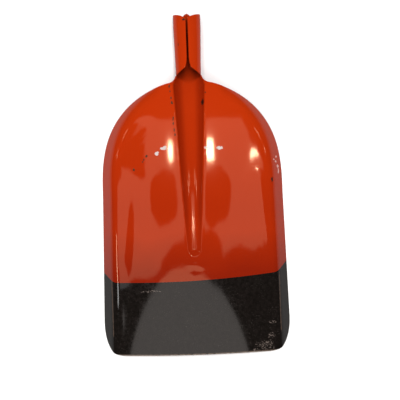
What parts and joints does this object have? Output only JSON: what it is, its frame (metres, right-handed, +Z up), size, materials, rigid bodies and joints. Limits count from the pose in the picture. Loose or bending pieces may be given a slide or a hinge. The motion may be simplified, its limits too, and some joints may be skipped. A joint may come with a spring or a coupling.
{
  "type": "scoop shovel head",
  "caption": "Broad pressed steel scoop shovel head with turned side walls, a channel down its back, a slit rolled socket and a dipped black mouth.",
  "frame": {"origin": "on the bench under the middle of the head, which lies face down on the free edges of its side walls", "axes": "+Y from the mouth edge to the open end of the socket, +X across the blade, +Z up, out of the back of the blade"},
  "size_m": [0.272, 0.4936, 0.0527],
  "materials": {
    "orange_enamel": "gloss enamel sprayed on pressed steel, with small chips on the ridges",
    "black_lacquer": "thin black lacquer, dipped, satin gloss with fine scratches"
  },
  "bodies": {
    "root": {"black_mouth": "black_lacquer", "left_pan": "orange_enamel", "right_pan": "orange_enamel", "left_wall": "orange_enamel", "right_wall": "orange_enamel", "frog": "orange_enamel", "socket": "orange_enamel"}
  },
  "joints": []
}
